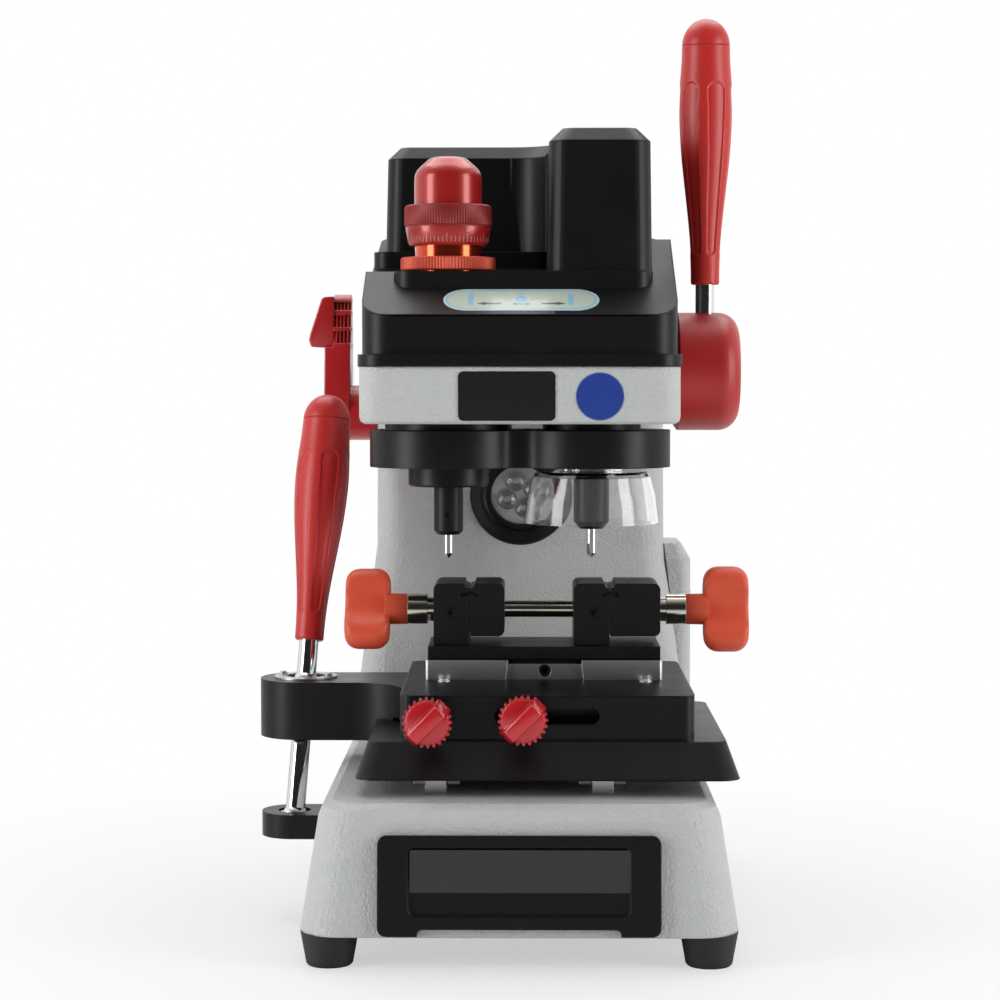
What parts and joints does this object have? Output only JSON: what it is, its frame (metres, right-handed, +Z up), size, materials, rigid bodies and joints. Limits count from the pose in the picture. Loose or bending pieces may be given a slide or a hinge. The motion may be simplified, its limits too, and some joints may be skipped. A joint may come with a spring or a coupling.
{
  "type": "key duplicating machine",
  "caption": "Upright key duplicating machine: cast base and column, cross table with two key vises, lever-fed head with tracer, cutter spindle and micrometer.",
  "frame": {"origin": "on the bench under the middle of the machine's bounding box", "axes": "+X to the operator's right, +Y to the back (the operator stands on -Y), +Z up"},
  "size_m": [0.302, 0.3714, 0.5545],
  "materials": {
    "casting": "fine orange peel paint, satin",
    "dark_sheet": "satin black",
    "rubber": "matte",
    "zinc": "bright zinc",
    "black_plastic": "fine grained",
    "glass": "clear",
    "led": "clear lenses",
    "black_metal": "satin black",
    "rail_steel": "ground",
    "bearing_steel": "ground",
    "gear_steel": "machined",
    "red_switch": "gloss",
    "dark_aluminium": "machined, dark",
    "motor": "black",
    "vise_aluminium": "satin",
    "black_oxide": "black oxide",
    "grey_ring": "satin",
    "star_red": "gloss",
    "nickel": "bright nickel",
    "wing_orange": "satin nylon",
    "chrome": "chrome",
    "grip_red": "semi gloss",
    "clear_guard": "clear moulded",
    "anodised_orange": "orange anodised",
    "spindle_steel": "black oxide",
    "tool_steel": "ground",
    "micrometer_red": "gloss red anodised"
  },
  "bodies": {
    "base": {"base_casting": "casting", "bottom_plate": "dark_sheet", "rubber_feet": "rubber", "foot_screws": "zinc", "badge_frame": "black_plastic", "lamp_bezel": "black_plastic", "lamp_glass": "glass", "lamp_leds": "led", "lever_bracket": "black_metal", "slide_rails": "rail_steel", "feed_rack": "gear_steel", "side_box": "casting", "rear_plate": "dark_sheet", "power_inlet": "black_plastic"},
    "switch": {"power_switch": "red_switch"},
    "saddle": {"saddle": "dark_aluminium", "y_bearings": "bearing_steel", "x_rails": "rail_steel"},
    "x_lock": {"x_lock_knob": "star_red"},
    "table": {"table_plate": "dark_aluminium", "x_bearings": "bearing_steel", "table_cover": "black_plastic", "table_screws": "zinc", "vise_mount": "vise_aluminium", "vise_base": "black_oxide", "left_fixed_jaw": "black_oxide", "right_fixed_jaw": "black_oxide", "jaw_screws": "black_oxide", "lever_arm": "black_metal", "arm_ring": "grey_ring"},
    "y_lock": {"y_lock_knob": "star_red"},
    "left_jaw": {"left_moving_jaw": "black_oxide"},
    "left_clamp": {"left_clamp_screw": "nickel", "left_wing_knob": "wing_orange"},
    "right_jaw": {"right_moving_jaw": "black_oxide"},
    "right_clamp": {"right_clamp_screw": "nickel", "right_wing_knob": "wing_orange"},
    "race": {"ball_race": "bearing_steel"},
    "table_lever": {"table_lever_rod": "chrome", "table_lever_grip": "grip_red"},
    "head": {"head_casting": "casting", "head_cover": "black_plastic", "head_bearings": "bearing_steel", "spindle_plate": "black_metal", "spindle_housing": "dark_aluminium", "motor": "motor", "chip_guard": "clear_guard", "tracer_flange": "black_metal", "micrometer_sleeve": "anodised_orange"},
    "spindle": {"spindle": "spindle_steel", "cutter": "tool_steel"},
    "tracer": {"tracer_quill": "spindle_steel", "tracer_point": "tool_steel"},
    "micrometer": {"micrometer_cap": "micrometer_red"},
    "lock_ring": {"lock_ring": "anodised_orange"},
    "feed_lever": {"feed_shaft": "gear_steel", "feed_hub": "grip_red", "feed_rod": "chrome", "feed_grip": "grip_red"},
    "lock_lever": {"lock_lever": "grip_red"}
  },
  "joints": [
    {"name": "saddle_slide", "type": "slide", "parent": "base", "child": "saddle", "axis": [0, 1, 0], "range_m": [-0.012, 0.012]},
    {"name": "table_slide", "type": "slide", "parent": "saddle", "child": "table", "axis": [1, 0, 0], "range_m": [-0.026, 0.002]},
    {"name": "lever_side", "type": "hinge", "parent": "base", "child": "race", "pos_m": [-0.1284, -0.0298, 0.0593], "axis": [0, 1, 0], "range_deg": [-18.6, 1.6]},
    {"name": "lever_lean", "type": "hinge", "parent": "race", "child": "table_lever", "pos_m": [-0.1284, -0.0298, 0.0593], "axis": [1, 0, 0], "range_deg": [-8.6, 8.6]},
    {"name": "x_lock_turn", "type": "hinge", "parent": "saddle", "child": "x_lock", "pos_m": [0.0126, -0.1418, 0.136], "axis": [0, 1, 0], "range_deg": [0, 180]},
    {"name": "y_lock_turn", "type": "hinge", "parent": "table", "child": "y_lock", "pos_m": [-0.0418, -0.1418, 0.1345], "axis": [0, 1, 0], "range_deg": [0, 180]},
    {"name": "left_jaw_slide", "type": "slide", "parent": "table", "child": "left_jaw", "axis": [1, 0, 0], "range_m": [0, 0.009]},
    {"name": "left_clamp_turn", "type": "hinge", "parent": "table", "child": "left_clamp", "pos_m": [-0.0494, -0.0318, 0.1885], "axis": [-1, 0, 0], "range_deg": [0, 1081]},
    {"name": "right_jaw_slide", "type": "slide", "parent": "table", "child": "right_jaw", "axis": [1, 0, 0], "range_m": [0, 0.009]},
    {"name": "right_clamp_turn", "type": "hinge", "parent": "right_jaw", "child": "right_clamp", "pos_m": [0.1056, -0.0318, 0.1885], "axis": [1, 0, 0], "range_deg": [0, 1081]},
    {"name": "head_slide", "type": "slide", "parent": "base", "child": "head", "axis": [0, 0, 1], "range_m": [-0.0115, 0], "stiffness_N_per_m": 2500, "springref_m": 0.06},
    {"name": "feed_turn", "type": "hinge", "parent": "head", "child": "feed_lever", "pos_m": [0.0106, 0.0202, 0.334], "axis": [1, 0, 0], "range_deg": [0, 36.7]},
    {"name": "spindle_turn", "type": "hinge", "parent": "head", "child": "spindle", "pos_m": [0.05435, -0.0318, 0.26], "axis": [0, 0, 1], "continuous": true},
    {"name": "tracer_slide", "type": "slide", "parent": "head", "child": "tracer", "axis": [0, 0, 1], "range_m": [-0.002, 0.002]},
    {"name": "micrometer_turn", "type": "hinge", "parent": "head", "child": "micrometer", "pos_m": [-0.03315, -0.0318, 0.42], "axis": [0, 0, 1], "range_deg": [-721, 721]},
    {"name": "lock_ring_turn", "type": "hinge", "parent": "head", "child": "lock_ring", "pos_m": [-0.03315, -0.0318, 0.399], "axis": [0, 0, 1], "range_deg": [0, 180]},
    {"name": "lock_lever_turn", "type": "hinge", "parent": "base", "child": "lock_lever", "pos_m": [-0.0894, 0.1092, 0.3065], "axis": [1, 0, 0], "range_deg": [-35, 0]},
    {"name": "switch_rock", "type": "hinge", "parent": "base", "child": "switch", "pos_m": [0.1206, 0.1232, 0.178], "axis": [0, -1, 0], "range_deg": [0, 16]}
  ],
  "couplings": [
    {"joint": "lever_side", "follows": "table_slide", "rad_per_m": 12.392},
    {"joint": "lever_lean", "follows": "saddle_slide", "rad_per_m": -12.392},
    {"joint": "left_clamp_turn", "follows": "left_jaw_slide", "rad_per_m": 2094.4},
    {"joint": "right_clamp_turn", "follows": "right_jaw_slide", "rad_per_m": 2094.4},
    {"joint": "feed_turn", "follows": "head_slide", "rad_per_m": -55.556},
    {"joint": "micrometer_turn", "follows": "tracer_slide", "rad_per_m": 6283.2}
  ]
}
